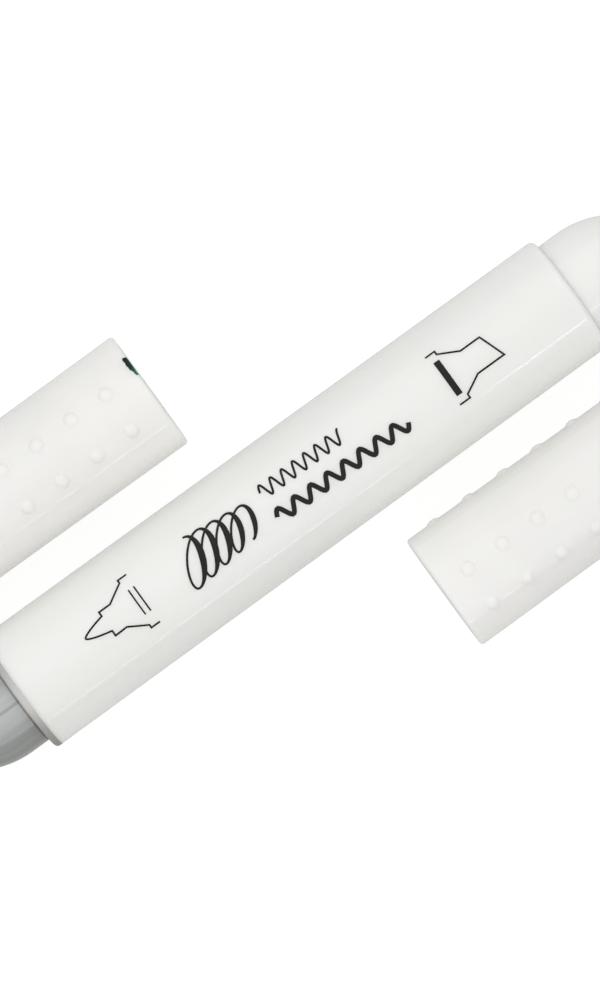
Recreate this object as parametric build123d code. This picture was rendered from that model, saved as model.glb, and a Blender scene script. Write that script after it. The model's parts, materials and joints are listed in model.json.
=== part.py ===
from build123d import *
import math
import os

os.makedirs("parts", exist_ok=True)

# A round felt tip marker with a fine tip at one end and a broad tip at the other. It lies on its
# side with both caps taken off and laid beside the barrel. +X runs along it towards the broad tip,
# +Z is up, and the origin is on the resting surface below the middle of the barrel.

# Barrel: the outside tapers a little towards the broad end, and the wall is given at that end
barrel_fine_diameter = 14.66
barrel_broad_diameter = 14.34
barrel_length = 74.3
barrel_wall = 1.2
barrel_end_rounding = 0.65
flange_thickness = 0.8
flange_rounding = 0.4

# Tips: both reach equally far out of the barrel, so that the two caps can be the same length
tip_reach = 18.0
nose_curve = 10.8
plug_length = 9.0
socket_depth = 5.0
fine_shoulder_length = 2.5
fine_neck_radius = 3.4
fine_neck_end = 12.0
fine_snout_radius = 2.0
fine_snout_end = 13.6
groove_width = 0.25
groove_depth = 0.25
broad_shoulder_length = 2.7
broad_neck_radius = 4.6
broad_neck_end = 11.0

# Nibs
fine_nib_radius = 1.25
fine_point_length = 2.4
fine_point_radius = 0.4
broad_nib_width = 6.4
broad_nib_thickness = 4.0
broad_nib_slant = 3.2
broad_nib_rounding = 0.35
nib_tail_in_core = 4.0

# Ink core
core_radius = 5.2
film_thickness = 0.2

# Caps: each diameter is at the mouth, a little under the barrel's beside it
fine_cap_diameter = 14.44
broad_cap_diameter = 14.22
cap_length = 37.5
cap_draft = 0.15
cap_rim_rounding = 0.4
cap_end_rounding = 0.8
fine_cap_wall = 1.04
broad_cap_wall = 0.84
cap_guide_depth = 6.0
cap_guide_step = 0.25
end_wall = 1.2
end_plug_thickness = 1.2
end_plug_radius = 5.6
end_plug_chamfer = 0.15
liner_wall = 0.7
liner_collar_length = 2.5
room_past_tip = 1.5

# Grip dots on the caps: rows are angles round the cap, places are measured from the mouth
fine_dot_rows = (0, 40, 140, 180)
broad_dot_rows = (0, 40, 120, 160)
dot_diameter = 1.7
dot_height = 0.28
dot_pitch = 4.68
dot_root = 0.3
fine_first_dot = 4.2
broad_first_dot = 3.6
last_dot_margin = 4.0

# Where the caps lie: beside the barrel, moved back from where they sit when closed
cap_beside = 18.6
fine_cap_moved_back = 31.45
broad_cap_moved_back = 30.65
fine_cap_roll = -17.4
broad_cap_roll = -33.0

# Fits, each a gap on the radius
cap_fit = 0.05
plug_fit = 0.05
press_gap = 0.02
seal_fit = 0.05
nib_fit = 0.05

# Worked out from the sizes above
barrel_fine_radius = barrel_fine_diameter / 2
barrel_broad_radius = barrel_broad_diameter / 2
axis_height = max(barrel_fine_radius, barrel_broad_radius)
bore_radius = barrel_broad_radius - barrel_wall
plug_radius = bore_radius - plug_fit
half_body = (barrel_length + flange_thickness) / 2
fine_cap_radius = fine_cap_diameter / 2
broad_cap_radius = broad_cap_diameter / 2
fine_shoulder_radius = fine_cap_radius - fine_cap_wall - cap_fit
broad_shoulder_radius = broad_cap_radius - broad_cap_wall - cap_fit
core_space_radius = core_radius + press_gap + film_thickness + press_gap
fine_core_end = -(flange_thickness + plug_length - socket_depth)
broad_core_end = -(plug_length - socket_depth)
core_start_x = -half_body - fine_core_end
core_length = 2 * half_body + fine_core_end + broad_core_end


def turned(outline):
    """Turn a closed outline, drawn as length along X and radius along Y, into a solid about X."""
    return revolve(make_face(outline), axis=Axis.X)


def turned_steps(*corners):
    """Turn an outline of straight lines, given as (length, radius) corners."""
    return turned(Polyline(*corners, close=True))


def rod(radius, start, end):
    """A plain round bar about X."""
    return turned_steps((start, 0), (end, 0), (end, radius), (start, radius))


def outer_edge(body, place):
    """The largest round edge that lies across X at this place."""
    edges = body.edges().filter_by(GeomType.CIRCLE)
    return edges.filter_by_position(Axis.X, place - 0.001, place + 0.001).sort_by(SortBy.RADIUS)[-1]


def nose_length(shoulder_radius, neck_radius):
    """How far the curved nose runs from the shoulder until it is down to the neck."""
    turn = math.acos(1 - (shoulder_radius - neck_radius) / nose_curve)
    return nose_curve * math.sin(turn)


fine_neck_start = fine_shoulder_length + nose_length(fine_shoulder_radius, fine_neck_radius)
broad_neck_start = broad_shoulder_length + nose_length(broad_shoulder_radius, broad_neck_radius)

# Each end of the marker is drawn with +X pointing out of the barrel from the face that the cap's
# rim meets, and is then put in its place. The fine end is turned round to point along -X.
broad_end = Pos(half_body, 0, axis_height)
fine_end = Pos(-half_body, 0, axis_height) * Rot(0, 0, 180)
fine_cap_place = fine_end * Pos(-fine_cap_moved_back, -cap_beside, fine_cap_radius - axis_height)
broad_cap_place = broad_end * Pos(-broad_cap_moved_back, -cap_beside, broad_cap_radius - axis_height)


def make_barrel():
    """Round tapering tube with one bore right through. Its broad end has a rounded outer edge."""
    fine_face = -half_body + flange_thickness
    body = turned_steps(
        (fine_face, bore_radius),
        (half_body, bore_radius),
        (half_body, barrel_broad_radius),
        (fine_face, barrel_fine_radius),
    )
    rounding = min(barrel_end_rounding, 0.75 * (barrel_broad_radius - broad_shoulder_radius))
    return Pos(0, 0, axis_height) * fillet(outer_edge(body, half_body), rounding)


def make_fine_tip_holder():
    """Plug in the barrel, flange level with the barrel, shoulder for the cap, nose, neck and snout."""
    plug_end = -(flange_thickness + plug_length)
    groove_radius = fine_shoulder_radius - groove_depth
    nose = TangentArc(
        (fine_shoulder_length, fine_shoulder_radius),
        (fine_neck_start, fine_neck_radius),
        tangent=(1, 0),
    )
    outline = Polyline(
        (fine_neck_start, fine_neck_radius),
        (fine_neck_end, fine_neck_radius),
        (fine_snout_end, fine_snout_radius),
        (fine_snout_end, 0),
        (plug_end, 0),
        (plug_end, plug_radius),
        (-flange_thickness, plug_radius),
        (-flange_thickness, barrel_fine_radius),
        (0, barrel_fine_radius),
        (0, groove_radius),
        (groove_width, groove_radius),
        (groove_width, fine_shoulder_radius),
        (fine_shoulder_length, fine_shoulder_radius),
    )
    body = turned(outline + nose)
    body = fillet(outer_edge(body, 0), min(flange_rounding, 0.75 * flange_thickness))
    socket = rod(core_space_radius, plug_end, fine_core_end)
    channel = rod(fine_nib_radius + nib_fit, fine_core_end, fine_snout_end)
    return fine_end * (body - socket - channel)


def nib_block(gap, start, end):
    """The broad nib's rectangular section with a gap added all round, as a bar along X."""
    width = broad_nib_width + 2 * gap
    thickness = broad_nib_thickness + 2 * gap
    return Pos((start + end) / 2, 0, 0) * Box(end - start, width, thickness)


def make_broad_tip_holder():
    """Plug in the barrel, shoulder that stands on the barrel's end face, nose and neck."""
    nose = TangentArc(
        (broad_shoulder_length, broad_shoulder_radius),
        (broad_neck_start, broad_neck_radius),
        tangent=(1, 0),
    )
    outline = Polyline(
        (broad_neck_start, broad_neck_radius),
        (broad_neck_end, broad_neck_radius),
        (broad_neck_end, 0),
        (-plug_length, 0),
        (-plug_length, plug_radius),
        (0, plug_radius),
        (0, broad_shoulder_radius),
        (broad_shoulder_length, broad_shoulder_radius),
    )
    body = turned(outline + nose)
    socket = rod(core_space_radius, -plug_length, broad_core_end)
    channel = nib_block(nib_fit, broad_core_end, broad_neck_end)
    return broad_end * (body - socket - channel)


def make_fine_nib():
    """Round fibre rod with a bullet point: a cone that runs smoothly into a small round tip."""
    run = fine_point_length - fine_point_radius
    lean = math.pi - math.atan2(fine_nib_radius, run)
    touch = lean - math.acos(fine_point_radius / math.hypot(run, fine_nib_radius))
    centre = tip_reach - fine_point_radius

    def on_tip(angle):
        return (centre + fine_point_radius * math.cos(angle), fine_point_radius * math.sin(angle))

    tail = fine_core_end - nib_tail_in_core
    sides = Polyline(
        (tip_reach, 0),
        (tail, 0),
        (tail, fine_nib_radius),
        (tip_reach - fine_point_length, fine_nib_radius),
        on_tip(touch),
    )
    point = ThreePointArc(on_tip(touch), on_tip(touch / 2), (tip_reach, 0))
    return fine_end * turned(sides + point)


def make_broad_nib():
    """Rectangular fibre block whose end slants across its width, with its long edges rounded."""
    block = nib_block(0, broad_core_end - nib_tail_in_core, tip_reach)
    block = fillet(block.edges().filter_by(Axis.X), broad_nib_rounding)
    half_width = broad_nib_width / 2
    off_cut = Polyline(
        (tip_reach, half_width),
        (tip_reach - broad_nib_slant, -half_width),
        (tip_reach - broad_nib_slant, -broad_nib_width),
        (2 * tip_reach, -broad_nib_width),
        (2 * tip_reach, half_width),
        close=True,
    )
    block -= extrude(make_face(off_cut), broad_nib_thickness, both=True)
    return broad_end * block


def make_ink_core():
    """Fibre bar that stores the ink, with a pocket pressed into each end by the nib's tail."""
    core = rod(core_radius, core_start_x, core_start_x + core_length)
    fine_pocket = rod(fine_nib_radius + nib_fit, core_start_x, core_start_x + nib_tail_in_core)
    broad_start = core_start_x + core_length - nib_tail_in_core
    broad_pocket = nib_block(nib_fit, broad_start, core_start_x + core_length)
    return Pos(0, 0, axis_height) * (core - fine_pocket - broad_pocket)


def make_core_film():
    """Thin film sleeve round the ink core."""
    inner = core_radius + press_gap
    outer = inner + film_thickness
    film = turned_steps(
        (core_start_x, inner),
        (core_start_x + core_length, inner),
        (core_start_x + core_length, outer),
        (core_start_x, outer),
    )
    return Pos(0, 0, axis_height) * film


def cap_radius_at(mouth_radius, place):
    """Outside radius of a cap at a distance from its mouth."""
    return mouth_radius - cap_draft * place / cap_length


def grip_dots(mouth_radius, first_dot, rows):
    """Domes in straight rows along the cap, each with a short root inside the wall."""
    half = dot_diameter / 2
    dome_radius = (half**2 + dot_height**2) / (2 * dot_height)
    dome = Pos(0, 0, dot_height - dome_radius) * Sphere(dome_radius)
    trim = Pos(0, 0, dome_radius) * Cylinder(half, 2 * dome_radius)
    root = Pos(0, 0, -dot_root / 2) * Cylinder(half, dot_root)
    dot = (dome & trim) + root
    count = int((cap_length - last_dot_margin - first_dot) / dot_pitch) + 1
    places = [first_dot + dot_pitch * index for index in range(count)]
    return [
        Rot(-row, 0, 0) * Pos(place, 0, cap_radius_at(mouth_radius, place)) * dot
        for row in rows
        for place in places
    ]


def make_cap_shell(mouth_radius, wall, first_dot, dot_rows, roll, location):
    """Cap's outer shell: guide for the shoulder at the mouth, end wall, and a recess for the plug."""
    guide_radius = mouth_radius - wall
    inside_radius = guide_radius - cap_guide_step
    recess_floor = cap_length - end_plug_thickness
    inside_end = recess_floor - end_wall
    recess_radius = end_plug_radius + press_gap
    end_radius = cap_radius_at(mouth_radius, cap_length)
    shell = turned_steps(
        (0, guide_radius),
        (cap_guide_depth, guide_radius),
        (cap_guide_depth, inside_radius),
        (inside_end, inside_radius),
        (inside_end, 0),
        (recess_floor, 0),
        (recess_floor, recess_radius),
        (cap_length, recess_radius),
        (cap_length, end_radius),
        (0, mouth_radius),
    )
    shell = fillet(outer_edge(shell, 0), min(cap_rim_rounding, wall / 2))
    end_rounding = min(cap_end_rounding, 0.75 * (end_radius - recess_radius))
    shell = fillet(outer_edge(shell, cap_length), end_rounding)
    shell += grip_dots(mouth_radius, first_dot, dot_rows)
    return location * Rot(-roll, 0, 0) * shell


def make_cap_liner(guide_radius, neck_start, neck_radius, location):
    """Inner cup that closes over the neck and keeps the nib wet. Its collar is a push fit in the shell."""
    collar_radius = guide_radius - cap_guide_step - press_gap
    inner = neck_radius + seal_fit
    outer = inner + liner_wall
    floor = tip_reach + room_past_tip
    collar_end = neck_start + liner_collar_length
    liner = turned_steps(
        (neck_start, inner),
        (floor, inner),
        (floor, 0),
        (floor + liner_wall, 0),
        (floor + liner_wall, outer),
        (collar_end, outer),
        (collar_end, collar_radius),
        (neck_start, collar_radius),
    )
    return location * liner


def make_end_plug(location):
    """Colour plug: a disc pressed into the closed end of the cap, level with it."""
    disc = rod(end_plug_radius, cap_length - end_plug_thickness, cap_length)
    return location * chamfer(outer_edge(disc, cap_length), end_plug_chamfer)


pieces = {
    "barrel": make_barrel(),
    "fine_tip_holder": make_fine_tip_holder(),
    "broad_tip_holder": make_broad_tip_holder(),
    "fine_nib": make_fine_nib(),
    "broad_nib": make_broad_nib(),
    "ink_core": make_ink_core(),
    "ink_core_film": make_core_film(),
    "fine_cap_shell": make_cap_shell(
        fine_cap_radius,
        fine_cap_wall,
        fine_first_dot,
        fine_dot_rows,
        fine_cap_roll,
        fine_cap_place,
    ),
    "fine_cap_liner": make_cap_liner(
        fine_cap_radius - fine_cap_wall, fine_neck_start, fine_neck_radius, fine_cap_place
    ),
    "fine_cap_end_plug": make_end_plug(fine_cap_place),
    "broad_cap_shell": make_cap_shell(
        broad_cap_radius,
        broad_cap_wall,
        broad_first_dot,
        broad_dot_rows,
        broad_cap_roll,
        broad_cap_place,
    ),
    "broad_cap_liner": make_cap_liner(
        broad_cap_radius - broad_cap_wall, broad_neck_start, broad_neck_radius, broad_cap_place
    ),
    "broad_cap_end_plug": make_end_plug(broad_cap_place),
}

for name, piece in pieces.items():
    export_step(piece, f"parts/{name}.step")
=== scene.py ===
import json
import math

import bmesh
import bpy
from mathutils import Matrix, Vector


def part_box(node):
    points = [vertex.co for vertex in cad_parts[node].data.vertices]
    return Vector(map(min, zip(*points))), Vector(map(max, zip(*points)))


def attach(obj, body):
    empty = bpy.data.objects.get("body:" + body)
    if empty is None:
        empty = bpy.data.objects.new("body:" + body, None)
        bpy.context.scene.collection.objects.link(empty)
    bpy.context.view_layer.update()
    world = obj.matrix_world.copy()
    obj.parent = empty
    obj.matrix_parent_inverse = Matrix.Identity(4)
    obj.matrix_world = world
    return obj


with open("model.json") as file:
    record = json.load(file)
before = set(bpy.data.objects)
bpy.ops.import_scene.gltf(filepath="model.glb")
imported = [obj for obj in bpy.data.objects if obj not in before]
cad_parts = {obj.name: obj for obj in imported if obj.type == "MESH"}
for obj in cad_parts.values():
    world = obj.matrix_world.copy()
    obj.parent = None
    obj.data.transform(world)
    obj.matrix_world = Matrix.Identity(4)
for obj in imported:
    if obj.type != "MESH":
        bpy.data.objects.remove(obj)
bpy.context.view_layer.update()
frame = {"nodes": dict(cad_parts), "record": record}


# ------------------------------------------------------------------------------------------------
# Ink core
# A bar of loose polyester fibre, drawn and heat set into a rod, that stores the alcohol ink. It is
# laid in the barrel first, and the tails of both nibs press into its ends.
# ------------------------------------------------------------------------------------------------

mm = 0.001
core_strand = 0.4 * mm


def linear(srgb_hex):
    """An sRGB hex colour as the linear colour that a shader takes."""
    values = [int(srgb_hex[i : i + 2], 16) / 255 for i in (1, 3, 5)]
    return [v / 12.92 if v <= 0.04045 else ((v + 0.055) / 1.055) ** 2.4 for v in values] + [1.0]


def add_node(tree, kind, settings, links):
    """Add one node. Settings are its properties or input values, links are sockets for inputs."""
    node = tree.nodes.new("ShaderNode" + kind)
    for name, value in settings.items():
        if isinstance(name, str) and hasattr(node, name):
            setattr(node, name, value)
        else:
            node.inputs[name].default_value = value
    for name, source in links.items():
        tree.links.new(source, node.inputs[name])
    return node


def start_material(name):
    """A new material, its empty node tree, and the socket that gives a point's place."""
    material = bpy.data.materials.new(name)
    material.use_nodes = True
    tree = material.node_tree
    tree.nodes.clear()
    place = add_node(tree, "TexCoord", {}, {}).outputs["Object"]
    return material, tree, place


def dress(material, *nodes):
    """Give CAD nodes their finish."""
    for node in nodes:
        slots = frame["nodes"][node].data.materials
        slots.clear()
        slots.append(material)


def soaked_fibre(name, wet, dry, strand):
    """Polyester fibres lying along X and soaked with ink. To the eye they are dark and matt, with
    fine lighter lines where a strand stands out of the ink, and a few damp patches that shine."""
    damp_patch, strand_relief = 1.6 * mm, 0.04 * mm
    material, tree, place = start_material(name)
    along = add_node(tree, "Mapping", {"Scale": (0.06, 1, 1)}, {"Vector": place}).outputs["Vector"]
    strands = add_node(
        tree, "TexNoise", {"Scale": 1 / strand, "Detail": 3, "Roughness": 0.65}, {"Vector": along}
    ).outputs["Fac"]
    lines = add_node(tree, "MapRange", {"From Min": 0.35, "From Max": 0.7}, {"Value": strands})
    damp = add_node(tree, "TexNoise", {"Scale": 1 / damp_patch, "Detail": 2}, {"Vector": place})
    shine = add_node(
        tree,
        "MapRange",
        {"From Min": 0.35, "From Max": 0.65, "To Min": 0.38, "To Max": 0.8},
        {"Value": damp.outputs["Fac"]},
    )
    colour = add_node(
        tree, "Mix", {"data_type": "RGBA", 6: linear(wet), 7: linear(dry)}, {0: lines.outputs[0]}
    )
    relief = add_node(tree, "Bump", {"Strength": 0.9, "Distance": strand_relief}, {"Height": strands})
    surface = add_node(
        tree,
        "BsdfPrincipled",
        {"Sheen Weight": 0.05, "Sheen Roughness": 0.5, "IOR": 1.4},
        {
            "Base Color": colour.outputs[2],
            "Roughness": shine.outputs[0],
            "Normal": relief.outputs["Normal"],
        },
    )
    add_node(tree, "OutputMaterial", {}, {"Surface": surface.outputs["BSDF"]})
    return material


dress(soaked_fibre("drawn polyester core fibre, soaked", "#06382F", "#1A6E5B", core_strand), "ink_core")


# ------------------------------------------------------------------------------------------------
# Ink core film
# A thin clear polypropylene film, cast flat and rolled round the core, so that the ink stays in the
# fibre and the core slides into the barrel.
# ------------------------------------------------------------------------------------------------

film_wrinkle = 1.2 * mm
film_wrinkle_depth = 0.05 * mm


def cast_film():
    """Cast polypropylene film: clear, glossy, and wrinkled a little along its length."""
    material, tree, place = start_material("cast polypropylene film, clear")
    along = add_node(tree, "Mapping", {"Scale": (0.25, 1, 1)}, {"Vector": place}).outputs["Vector"]
    wrinkle = add_node(
        tree, "TexNoise", {"Scale": 1 / film_wrinkle, "Detail": 3}, {"Vector": along}
    ).outputs["Fac"]
    gloss = add_node(tree, "MapRange", {"To Min": 0.06, "To Max": 0.22}, {"Value": wrinkle})
    colour = add_node(
        tree,
        "Mix",
        {"data_type": "RGBA", 6: linear("#DCE6E2"), 7: linear("#C5D5CF")},
        {0: wrinkle},
    )
    relief = add_node(
        tree, "Bump", {"Strength": 0.7, "Distance": film_wrinkle_depth}, {"Height": wrinkle}
    )
    surface = add_node(
        tree,
        "BsdfPrincipled",
        {"IOR": 1.49, "Alpha": 0.35},
        {
            "Base Color": colour.outputs[2],
            "Roughness": gloss.outputs[0],
            "Normal": relief.outputs["Normal"],
        },
    )
    add_node(tree, "OutputMaterial", {}, {"Surface": surface.outputs["BSDF"]})
    return material


dress(cast_film(), "ink_core_film")


# ------------------------------------------------------------------------------------------------
# Barrel
# A round tube of white polypropylene, injection moulded over a polished core pin, and drawn off
# towards its broad end, which is why it is slightly thinner there. It holds everything else.
# ------------------------------------------------------------------------------------------------

barrel_low, barrel_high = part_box("barrel")
barrel_axis = (barrel_low.z + barrel_high.z) / 2
barrel_fine_radius = (barrel_high.y - barrel_low.y) / 2
barrel_broad_radius = 7.17 * mm


def moulded_polypropylene(name, light, shade, smooth, rubbed, milk):
    """Polypropylene out of a polished mould. To the eye it is soft and slightly milky, with half
    gloss that is duller where it is rubbed, and a skin that breaks a highlight's edge a little."""
    tone_patch, rubbed_patch = 5 * mm, 2 * mm
    sink_wave, sink_depth = 7 * mm, 0.008 * mm
    skin_grain, skin_depth = 0.3 * mm, 0.0008 * mm
    material, tree, place = start_material(name)
    along = add_node(tree, "Mapping", {"Scale": (0.2, 1, 1)}, {"Vector": place}).outputs["Vector"]
    cloud = add_node(tree, "TexNoise", {"Scale": 1 / tone_patch, "Detail": 3}, {"Vector": along})
    spread = add_node(
        tree, "MapRange", {"From Min": 0.3, "From Max": 0.7}, {"Value": cloud.outputs["Fac"]}
    )
    colour = add_node(
        tree,
        "Mix",
        {"data_type": "RGBA", 6: linear(light), 7: linear(shade)},
        {0: spread.outputs[0]},
    )
    wear = add_node(
        tree,
        "TexNoise",
        {"Scale": 1 / rubbed_patch, "Detail": 5, "Roughness": 0.6},
        {"Vector": place},
    )
    gloss = add_node(
        tree,
        "MapRange",
        {"From Min": 0.35, "From Max": 0.75, "To Min": smooth, "To Max": rubbed},
        {"Value": wear.outputs["Fac"]},
    )
    sink = add_node(tree, "TexNoise", {"Scale": 1 / sink_wave, "Detail": 1}, {"Vector": along})
    waves = add_node(
        tree, "Bump", {"Strength": 1, "Distance": sink_depth}, {"Height": sink.outputs["Fac"]}
    )
    grain = add_node(tree, "TexNoise", {"Scale": 1 / skin_grain, "Detail": 2}, {"Vector": place})
    skin = add_node(
        tree,
        "Bump",
        {"Strength": 1, "Distance": skin_depth},
        {"Height": grain.outputs["Fac"], "Normal": waves.outputs["Normal"]},
    )
    surface = add_node(
        tree,
        "BsdfPrincipled",
        {
            "IOR": 1.49,
            "Subsurface Weight": milk,
            "Subsurface Scale": 1.5 * mm,
            "Subsurface Radius": (1, 1, 0.9),
        },
        {
            "Base Color": colour.outputs[2],
            "Roughness": gloss.outputs[0],
            "Normal": skin.outputs["Normal"],
        },
    )
    add_node(tree, "OutputMaterial", {}, {"Surface": surface.outputs["BSDF"]})
    return material


dress(
    moulded_polypropylene("moulded polypropylene, barrel white", "#F1F1EE", "#EEEEEA", 0.09, 0.13, 0.5),
    "barrel",
)


# ------------------------------------------------------------------------------------------------
# Barrel print
# Pad printed in one black ink after moulding: a sign of the nib at each end, a pen scribble, and a
# sample of the line that each nib draws. The ink dries to a thin film on top of the plastic.
# ------------------------------------------------------------------------------------------------

ink_film = 0.008 * mm
ink_lift = 0.014 * mm
ink_piece = 0.35 * mm
ink_mottle = 0.35 * mm
sign_stroke = 0.21 * mm
collar_line_stroke = 0.18 * mm
collar_bar_stroke = 0.75 * mm
fine_sample_stroke = 0.26 * mm
broad_sample_stroke = 0.55 * mm


def pad_printing_ink():
    """Pad printing ink: nearly opaque and satin, with a slightly uneven film over the plastic."""
    material, tree, place = start_material("pad printed black ink")
    cover = add_node(tree, "TexNoise", {"Scale": 1 / ink_mottle, "Detail": 3}, {"Vector": place})
    colour = add_node(
        tree,
        "Mix",
        {"data_type": "RGBA", 6: linear("#121009"), 7: linear("#1F1B16")},
        {0: cover.outputs["Fac"]},
    )
    gloss = add_node(
        tree, "MapRange", {"To Min": 0.35, "To Max": 0.55}, {"Value": cover.outputs["Fac"]}
    )
    surface = add_node(
        tree,
        "BsdfPrincipled",
        {"IOR": 1.5, "Specular IOR Level": 0.25},
        {"Base Color": colour.outputs[2], "Roughness": gloss.outputs[0]},
    )
    add_node(tree, "OutputMaterial", {}, {"Surface": surface.outputs["BSDF"]})
    return material


barrel_ink = pad_printing_ink()


def on_barrel(along, around):
    """A point on the print, from its place along X and round from the top towards +Y."""
    share = (along - barrel_low.x) / (barrel_high.x - barrel_low.x)
    radius = barrel_fine_radius + (barrel_broad_radius - barrel_fine_radius) * share + ink_lift
    turn = around / radius
    return Vector((along, radius * math.sin(turn), barrel_axis + radius * math.cos(turn)))


def film_piece(name, rows, ink):
    """A sheet of ink through rows of points."""
    mesh = bmesh.new()
    rows = [[mesh.verts.new(point) for point in row] for row in rows]
    for first, second in zip(rows, rows[1:]):
        for k in range(len(first) - 1):
            mesh.faces.new((first[k], first[k + 1], second[k + 1], second[k]))
    bmesh.ops.recalc_face_normals(mesh, faces=mesh.faces)
    data = bpy.data.meshes.new(name)
    mesh.to_mesh(data)
    mesh.free()
    data.materials.append(ink)
    piece = bpy.data.objects.new(name, data)
    bpy.context.scene.collection.objects.link(piece)
    return piece


def print_stroke(name, points, widths):
    """Print one stroke through points that are in mm along and around the barrel. The widths are
    in metres, one for each point, or one for all of them."""
    widths = widths if isinstance(widths, list) else [widths] * len(points)
    sharpest_mitre = 0.5
    line, half = [], []
    for i, (point, following) in enumerate(zip(points, points[1:])):
        start, end = Vector(point) * mm, Vector(following) * mm
        pieces = max(1, math.ceil((end - start).length / ink_piece))
        for k in range(pieces):
            line.append(start.lerp(end, k / pieces))
            half.append((widths[i] + (widths[i + 1] - widths[i]) * k / pieces) / 2)
    line.append(Vector(points[-1]) * mm)
    half.append(widths[-1] / 2)
    across = max(1, math.ceil(2 * max(half) / ink_piece))
    rows = []
    for i, point in enumerate(line):
        into = (point - line[i - 1]).normalized() if i else (line[1] - point).normalized()
        out = (line[i + 1] - point).normalized() if i < len(line) - 1 else into
        side = Vector((-into.y - out.y, into.x + out.x)).normalized()
        reach = half[i] / max(sharpest_mitre, side.dot(Vector((-into.y, into.x))))
        flat = [point + side * reach * (1 - 2 * k / across) for k in range(across + 1)]
        rows.append([on_barrel(p.x, p.y) for p in flat])
    stroke = film_piece(name, rows, barrel_ink)
    film = stroke.modifiers.new("ink film", "SOLIDIFY")
    film.thickness = ink_film
    film.offset = 0
    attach(stroke, "marker")


def wavy(start, end, middle, height, length):
    """Points of an even wave, in mm, from one place along the barrel to another."""
    steps_per_wave = 14
    count = round(steps_per_wave * (end - start) / length)
    places = [start + (end - start) * i / count for i in range(count + 1)]
    return [(p, middle + height / 2 * math.sin(2 * math.pi * (p - start) / length)) for p in places]


# The bullet nib of the fine sign is round at its point and swells towards the collar behind it
bullet_point, bullet_length, bullet_half_width, bullet_middle = -27.65, 2.85, 0.98, 0.48
bullet_steps = 16
bullet_shares = [(1 - i / bullet_steps) ** 2 for i in range(bullet_steps + 1)]
bullet_side = [(bullet_point + bullet_length * s, bullet_half_width * s ** 0.62) for s in bullet_shares]
bullet_sign = [(-20.0, 3.75), (-21.15, 3.75), (-21.15, 3.35), (-23.3, 2.0), (-24.8, 2.0)]
bullet_sign += [(x, bullet_middle + y) for x, y in bullet_side]
bullet_sign += [(x, bullet_middle - y) for x, y in reversed(bullet_side[:-1])]
bullet_sign += [(-24.8, -1.15), (-23.25, -1.1), (-21.15, -2.4), (-21.15, -2.8), (-20.0, -2.8)]
print_stroke("fine_nib_sign", bullet_sign, sign_stroke)
print_stroke("fine_nib_sign_inner_line", [(-20.8, 2.1), (-20.8, -1.2)], collar_line_stroke)
print_stroke("fine_nib_sign_outer_line", [(-20.1, 2.1), (-20.1, -1.2)], collar_line_stroke)

chisel_sign = [(20.2, 3.7), (21.45, 3.7), (21.45, 3.25), (23.75, 1.95), (26.3, 1.95), (27.4, -1.2)]
chisel_sign += [(23.85, -1.2), (21.65, -2.4), (21.65, -2.9), (20.3, -2.9)]
print_stroke("broad_nib_sign", chisel_sign, sign_stroke)
print_stroke("broad_nib_sign_bar", [(20.95, 2.6), (20.95, -1.9)], collar_bar_stroke)

# The scribble is a row of leaning loops that get smaller, and the pen presses on each upstroke
scribble_loops, scribble_steps, scribble_shrink = 4.5, 160, 0.35
scribble_start, scribble_length, scribble_middle = -14.0, 8.3, 0.4
loop_half_height, loop_half_width, loop_lean = 2.9, 1.5, 0.45
scribble, scribble_widths = [], []
for i in range(scribble_steps + 1):
    share = i / scribble_steps
    turn = 2 * math.pi * scribble_loops * share
    size = 1 - scribble_shrink * share
    rise = loop_half_height * size * math.cos(turn)
    swing = loop_half_width * size * math.sin(turn) + loop_lean * rise
    scribble.append((scribble_start + scribble_length * share + swing, scribble_middle + rise))
    scribble_widths.append((0.26 + 0.5 * size * max(0, math.sin(turn)) ** 2) * mm)
print_stroke("pen_scribble", scribble, scribble_widths)
print_stroke("fine_line_sample", wavy(-3.0, 7.95, 2.2, 1.7, 1.5), fine_sample_stroke)
print_stroke("broad_line_sample", wavy(-3.0, 14.6, -1.05, 1.5, 2.2), broad_sample_stroke)


# ------------------------------------------------------------------------------------------------
# Fine tip holder
# A grey polypropylene moulding pressed into the barrel's fine end. Its flange was spark eroded in
# the mould and is matt, and its shoulder and nose were polished along the axis to let the cap slide.
# ------------------------------------------------------------------------------------------------

shoulder_mount = next(m for m in frame["record"]["mounts"] if m["name"] == "fine_shoulder")
shoulder_radius_mm = shoulder_mount["dims"]["r_mm"]
flange_thickness = 0.8 * mm
flange_edge = barrel_low.x - flange_thickness - 0.01 * mm
eroded_grit = 0.15 * mm
polish_depth = 0.008 * mm


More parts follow.
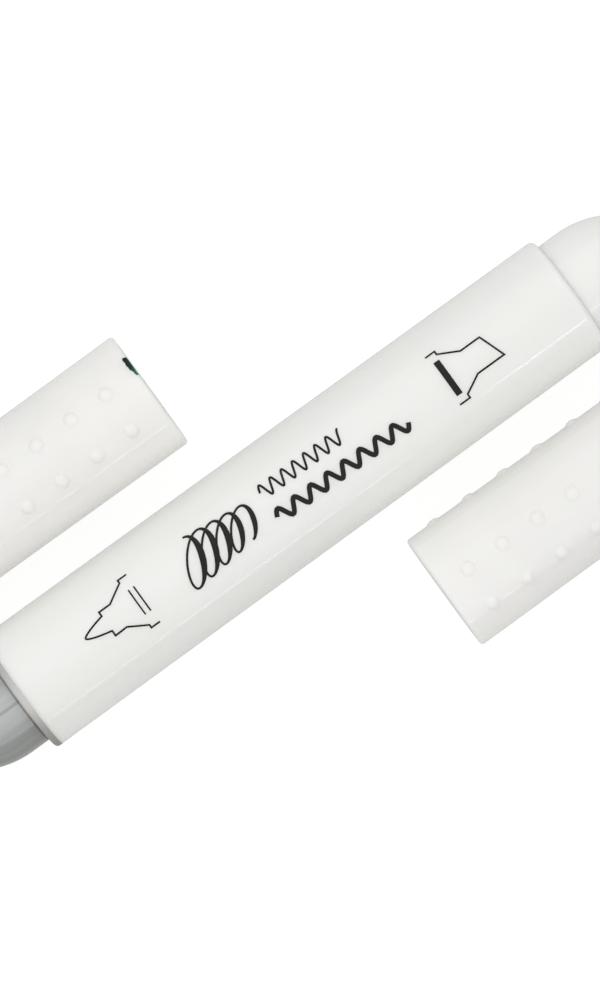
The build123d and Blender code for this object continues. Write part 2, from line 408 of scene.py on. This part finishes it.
def moulded_grey_polypropylene():
    """Grey polypropylene. To the eye the flange is a flat warm grey, and the nose is a cooler grey
    with gloss, fine polishing lines along it, and a thin darker line along its top. On both, a
    lighter band along the top is painted highlight, and painted shade darkens the grey away from it,
    most towards -Y."""
    material, tree, place = start_material("moulded polypropylene, holder grey")
    parts = add_node(tree, "SeparateXYZ", {}, {"Vector": place})
    up = add_node(
        tree, "Math", {"operation": "SUBTRACT", 1: barrel_axis}, {0: parts.outputs["Z"]}
    )
    turn = add_node(
        tree, "Math", {"operation": "ARCTAN2"}, {0: parts.outputs["Y"], 1: up.outputs[0]}
    )
    round_mm = add_node(
        tree, "Math", {"operation": "MULTIPLY", 1: shoulder_radius_mm}, {0: turn.outputs[0]}
    )
    slow_x = add_node(tree, "Math", {"operation": "MULTIPLY", 1: 40.0}, {0: parts.outputs["X"]})
    lay = add_node(tree, "CombineXYZ", {}, {"X": slow_x.outputs[0], "Y": round_mm.outputs[0]})
    lines = add_node(
        tree, "TexNoise", {"Scale": 1.1, "Detail": 3, "Roughness": 0.55}, {"Vector": lay.outputs[0]}
    )
    streaks = add_node(
        tree, "MapRange", {"From Min": 0.35, "From Max": 0.65}, {"Value": lines.outputs["Fac"]}
    )
    polished = add_node(
        tree,
        "Mix",
        {"data_type": "RGBA", 6: linear("#B2B4B5"), 7: linear("#BEBFBE")},
        {0: streaks.outputs[0]},
    )
    # A thin darker line along the nose, just to the -Y side of its top.
    top_line_offset = add_node(tree, "Math", {"operation": "ADD", 1: 0.75}, {0: round_mm.outputs[0]})
    top_line_distance = add_node(tree, "Math", {"operation": "ABSOLUTE"}, {0: top_line_offset.outputs[0]})
    top_line = add_node(
        tree,
        "MapRange",
        {"From Min": 0.04, "From Max": 0.3, "To Min": 0.8, "To Max": 0.0},
        {"Value": top_line_distance.outputs[0]},
    )
    with_top_line = add_node(
        tree,
        "Mix",
        {"data_type": "RGBA", 7: linear("#8E9799")},
        {0: top_line.outputs[0], 6: polished.outputs[2]},
    )
    flange = add_node(
        tree, "Math", {"operation": "GREATER_THAN", 1: flange_edge}, {0: parts.outputs["X"]}
    )
    grit = add_node(tree, "TexNoise", {"Scale": 1 / eroded_grit, "Detail": 2}, {"Vector": place})
    eroded = add_node(
        tree,
        "Mix",
        {"data_type": "RGBA", 6: linear("#C1C0BC"), 7: linear("#CDCCC8")},
        {0: grit.outputs["Fac"]},
    )
    colour = add_node(
        tree,
        "Mix",
        {"data_type": "RGBA"},
        {0: flange.outputs[0], 6: with_top_line.outputs[2], 7: eroded.outputs[2]},
    )
    # Painted shade: the grey of flange and nose is multiplied darker towards -Y, the side away from the
    # top light.
    painted_shade_side = add_node(
        tree,
        "MapRange",
        {"From Min": -1.6, "From Max": -7.5, "To Min": 0.0, "To Max": 1.0},
        {"Value": round_mm.outputs[0]},
    )
    painted_shade = add_node(
        tree,
        "Mix",
        {"data_type": "RGBA", "blend_type": "MULTIPLY", 7: linear("#D4D5D1")},
        {0: painted_shade_side.outputs[0], 6: colour.outputs[2]},
    )
    # Painted highlight and shade: a lighter band is kept along the top, a little towards -Y, and the
    # grey is multiplied darker on both sides of it.
    lit_band_offset = add_node(tree, "Math", {"operation": "ADD", 1: 0.9}, {0: round_mm.outputs[0]})
    lit_band_distance = add_node(tree, "Math", {"operation": "ABSOLUTE"}, {0: lit_band_offset.outputs[0]})
    off_lit_band = add_node(
        tree, "MapRange", {"From Min": 0.9, "From Max": 3.4}, {"Value": lit_band_distance.outputs[0]}
    )
    painted_highlight_and_shade = add_node(
        tree,
        "Mix",
        {"data_type": "RGBA", "blend_type": "MULTIPLY", 7: linear("#E2E3E2")},
        {0: off_lit_band.outputs[0], 6: painted_shade.outputs[2]},
    )
    gloss = add_node(
        tree, "MapRange", {"To Min": 0.1, "To Max": 0.22}, {"Value": lines.outputs["Fac"]}
    )
    matt = add_node(
        tree,
        "Math",
        {"operation": "MULTIPLY_ADD", 1: 0.4},
        {0: flange.outputs[0], 2: gloss.outputs[0]},
    )
    scored = add_node(
        tree, "Bump", {"Strength": 1, "Distance": polish_depth}, {"Height": lines.outputs["Fac"]}
    )
    surface = add_node(
        tree,
        "BsdfPrincipled",
        {"IOR": 1.49},
        {
            "Base Color": painted_highlight_and_shade.outputs[2],
            "Roughness": matt.outputs[0],
            "Normal": scored.outputs["Normal"],
        },
    )
    add_node(tree, "OutputMaterial", {}, {"Surface": surface.outputs["BSDF"]})
    return material


dress(moulded_grey_polypropylene(), "fine_tip_holder")


# ------------------------------------------------------------------------------------------------
# Broad tip holder
# The same kind of moulding in white, without a flange: the barrel's own rounded end stands over its
# shoulder. It is pressed in from the broad end.
# ------------------------------------------------------------------------------------------------

dress(
    moulded_polypropylene("moulded polypropylene, holder white", "#F1F1EF", "#EDEDEA", 0.09, 0.13, 0.5),
    "broad_tip_holder",
)


# ------------------------------------------------------------------------------------------------
# Nibs
# Polyester fibres bonded with resin, pushed through the holders into the core, and ground to shape:
# a bullet for fine lines and a slanting chisel for broad ones. Both are full of dark green ink.
# ------------------------------------------------------------------------------------------------

# Real strands are about a tenth of this, and are drawn coarse enough to show
nib_strand = 0.16 * mm

dress(
    soaked_fibre("ground polyester nib fibre, soaked", "#031D17", "#115244", nib_strand),
    "fine_nib",
    "broad_nib",
)


# ------------------------------------------------------------------------------------------------
# Cap liners
# Soft cups of natural polyethylene, moulded and pushed into the caps from the mouth. They grip the
# neck of the holder and keep the ink from drying.
# ------------------------------------------------------------------------------------------------

dress(
    moulded_polypropylene("moulded polyethylene, natural", "#E6EAE6", "#DEE3DE", 0.34, 0.48, 0.6),
    "fine_cap_liner",
    "broad_cap_liner",
)


# ------------------------------------------------------------------------------------------------
# Cap end plugs
# Discs of polypropylene in the colour of the ink, moulded and pressed flush into the closed ends, so
# that a marker can be picked by its colour from a box.
# ------------------------------------------------------------------------------------------------

dress(
    moulded_polypropylene("moulded polypropylene, ink green", "#065043", "#054438", 0.2, 0.32, 0.1),
    "fine_cap_end_plug",
    "broad_cap_end_plug",
)


# ------------------------------------------------------------------------------------------------
# Cap shells
# White polypropylene, injection moulded with four rows of small grip domes, and with a rounded rim
# at the mouth. The shells slide on to the holders' shoulders.
# ------------------------------------------------------------------------------------------------

dress(
    moulded_polypropylene("moulded polypropylene, cap white", "#F3F2EF", "#EFEEEA", 0.09, 0.13, 0.5),
    "fine_cap_shell",
    "broad_cap_shell",
)


# ------------------------------------------------------------------------------------------------
# Ink mark on the fine cap's rim
# A nib that missed the mouth left a smear of green ink over the rim, from the outside over the
# rounding and into the bore. It has dried to a thin glossy film with ragged edges.
# ------------------------------------------------------------------------------------------------

mouth_mount = next(m for m in frame["record"]["mounts"] if m["name"] == "fine_cap_mouth")
mouth_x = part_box("fine_cap_shell")[1].x
mouth_y, mouth_z = mouth_mount["pos_m"][1:]
rim_bore = mouth_mount["dims"]["r_mm"] * mm
rim_radius = 7.22 * mm
rim_rounding = 0.4 * mm
rim_face = rim_radius - rim_rounding - rim_bore
smear_lift = 0.012 * mm
smear_first_turn, smear_turn = 15, 21.5
smear_clot = 0.9 * mm


def dried_marker_ink():
    """Dried marker ink: nearly black green where it is thick, bright green where it is thin."""
    material, tree, place = start_material("dried green marker ink")
    thick = add_node(tree, "TexNoise", {"Scale": 1 / smear_clot, "Detail": 2}, {"Vector": place})
    parts = add_node(tree, "SeparateXYZ", {}, {"Vector": place})
    thin_side = add_node(
        tree,
        "MapRange",
        {"From Min": mouth_y + 3.0 * mm, "From Max": mouth_y + 1.9 * mm},
        {"Value": parts.outputs["Y"]},
    )
    thinness = add_node(
        tree,
        "Math",
        {"operation": "MULTIPLY_ADD", 1: 0.5, "use_clamp": True},
        {0: thick.outputs["Fac"], 2: thin_side.outputs[0]},
    )
    spread = add_node(
        tree, "MapRange", {"From Min": 0.25, "From Max": 1.1}, {"Value": thinness.outputs[0]}
    )
    colour = add_node(
        tree,
        "Mix",
        {"data_type": "RGBA", 6: linear("#0A211C"), 7: linear("#00785A")},
        {0: spread.outputs[0]},
    )
    gloss = add_node(
        tree, "MapRange", {"To Min": 0.18, "To Max": 0.38}, {"Value": thick.outputs["Fac"]}
    )
    surface = add_node(
        tree,
        "BsdfPrincipled",
        {"IOR": 1.5, "Specular IOR Level": 0.2},
        {"Base Color": colour.outputs[2], "Roughness": gloss.outputs[0]},
    )
    add_node(tree, "OutputMaterial", {}, {"Surface": surface.outputs["BSDF"]})
    return material


def over_rim(travel, turn):
    """A point on the smear. Travel runs over the rim from the middle of its rounding, less than
    nought outside and more on the end face and in the bore. Turn is from the top towards +Y."""
    half_arc = rim_rounding * math.pi / 4
    if travel < -half_arc:
        back, radius = rim_rounding - travel - half_arc, rim_radius + smear_lift
    elif travel < half_arc:
        angle = (travel + half_arc) / rim_rounding
        back = rim_rounding - (rim_rounding + smear_lift) * math.sin(angle)
        radius = rim_radius - rim_rounding + (rim_rounding + smear_lift) * math.cos(angle)
    elif travel < half_arc + rim_face:
        back, radius = -smear_lift, rim_radius - rim_rounding - (travel - half_arc)
    else:
        back, radius = travel - half_arc - rim_face, rim_bore - smear_lift
    return (mouth_x - back, mouth_y + radius * math.sin(turn), mouth_z + radius * math.cos(turn))


def rim_smear():
    """The smear as one sheet over the rim, wide in the middle and ragged along both edges."""
    rows_round, rows_over = 40, 24
    rows = []
    for i in range(rows_round + 1):
        share = i / rows_round
        turn = math.radians(smear_first_turn + smear_turn * share)
        ragged = 0.09 * math.sin(23 * share)
        ragged += 0.05 * math.sin(57 * share + 1) + 0.04 * math.sin(131 * share)
        outer = -(0.1 + 0.34 * min(1.0, 2.2 * share) + 0.35 * ragged) * mm
        inner = (1.5 + 0.9 * math.sin(math.pi * share) + 1.4 * ragged) * mm
        travels = [outer + (inner - outer) * k / rows_over for k in range(rows_over + 1)]
        rows.append([over_rim(travel, turn) for travel in travels])
    smear = film_piece("fine_cap_ink_smear", rows, dried_marker_ink())
    for face in smear.data.polygons:
        face.use_smooth = True
    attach(smear, "fine_cap")


rim_smear()


# ------------------------------------------------------------------------------------------------
# Studio
# The marker lies on lit white acrylic under a white tent that is brighter at its top than at its
# foot. A softbox leans from each side, and two low strips draw a thin line of light along the tubes.
# ------------------------------------------------------------------------------------------------

table_half = 3
barrel_middle = (0, 0, 0.01)


def lit_acrylic():
    """White acrylic lit from below: what is filmed is even white, with a trace of shadow, and what
    the marker gets back from it is a softer white."""
    material, tree, _ = start_material("lit white acrylic")
    seen = add_node(tree, "LightPath", {}, {}).outputs["Is Camera Ray"]
    glow = add_node(tree, "Emission", {"Color": linear("#FFFFFF"), "Strength": 0.84}, {})
    sheet = add_node(tree, "BsdfDiffuse", {"Color": linear("#898989")}, {})
    filmed = add_node(
        tree, "AddShader", {}, {0: glow.outputs["Emission"], 1: sheet.outputs["BSDF"]}
    )
    acrylic = add_node(tree, "BsdfDiffuse", {"Color": linear("#898988")}, {})
    lit = add_node(tree, "Emission", {"Color": linear("#FFFFFD"), "Strength": 0.46}, {})
    bounce = add_node(
        tree, "AddShader", {}, {0: lit.outputs["Emission"], 1: acrylic.outputs["BSDF"]}
    )
    both = add_node(
        tree, "MixShader", {}, {0: seen, 1: bounce.outputs["Shader"], 2: filmed.outputs["Shader"]}
    )
    add_node(tree, "OutputMaterial", {}, {"Surface": both.outputs["Shader"]})
    return material


table_mesh = bpy.data.meshes.new("table")
table_corners = [(x * table_half, y * table_half, 0) for x, y in ((-1, -1), (1, -1), (1, 1), (-1, 1))]
table_mesh.from_pydata(table_corners, [], [(0, 1, 2, 3)])
table_mesh.materials.append(lit_acrylic())
table = bpy.data.objects.new("table", table_mesh)
bpy.context.scene.collection.objects.link(table)


def soft_light(name, place, aim, width, height, watts, gloss_only=False):
    """A rectangular lamp that points from its place to its aim. One that is for gloss only draws
    its reflection and adds no other light."""
    data = bpy.data.lights.new(name, "AREA")
    data.shape = "RECTANGLE"
    data.size, data.size_y = width, height
    data.energy = watts
    lamp = bpy.data.objects.new(name, data)
    lamp.location = place
    lamp.rotation_euler = (Vector(aim) - Vector(place)).to_track_quat("-Z", "Y").to_euler()
    lamp.visible_camera = False
    lamp.visible_diffuse = not gloss_only
    bpy.context.scene.collection.objects.link(lamp)


soft_light("leaning_softbox", (0.0, 0.55, 0.70), (0, 0, 0), 1.6, 0.9, 1.2)
soft_light("low_softbox", (0, -0.374, 0.272), barrel_middle, 0.7, 0.29, 0.22)
soft_light("low_strip", (-0.107, -0.434, 0.145), (-0.107, 0, 0.01), 0.285, 0.010, 0.05, True)
soft_light("broad_end_strip", (0.135, -0.378, 0.268), (0.135, 0, 0.01), 0.18, 0.007, 0.055, True)

tent = bpy.data.worlds.new("white tent")
tent.use_nodes = True
tent_tree = tent.node_tree
tent_tree.nodes.clear()
tent_way = add_node(tent_tree, "TexCoord", {}, {}).outputs["Generated"]
tent_lean = add_node(
    tent_tree, "VectorMath", {"operation": "DOT_PRODUCT", 1: (0, 0.14, 0.99)}, {0: tent_way}
)
tent_foot, tent_top = 0.38, 1.0
tent_range = {"From Min": -0.1, "From Max": 0.8, "To Min": tent_foot, "To Max": tent_top}
tent_glow = add_node(
    tent_tree,
    "MapRange",
    {"interpolation_type": "SMOOTHSTEP", **tent_range},
    {"Value": tent_lean.outputs["Value"]},
)
tent_light = add_node(
    tent_tree, "Background", {"Color": linear("#FFFFFF")}, {"Strength": tent_glow.outputs[0]}
)
add_node(tent_tree, "OutputWorld", {}, {"Surface": tent_light.outputs["Background"]})
bpy.context.scene.world = tent
bpy.context.scene.view_settings.view_transform = "Standard"

camera_lens = bpy.data.cameras.new("camera")
camera_lens.lens = 196
camera_lens.clip_start = 0.01
camera = bpy.data.objects.new("camera", camera_lens)
camera.location = (0.1 * mm, -0.97 * mm, 607 * mm)
camera.rotation_euler = (0, 0, math.radians(-35.94))
bpy.context.scene.collection.objects.link(camera)
bpy.context.scene.camera = camera
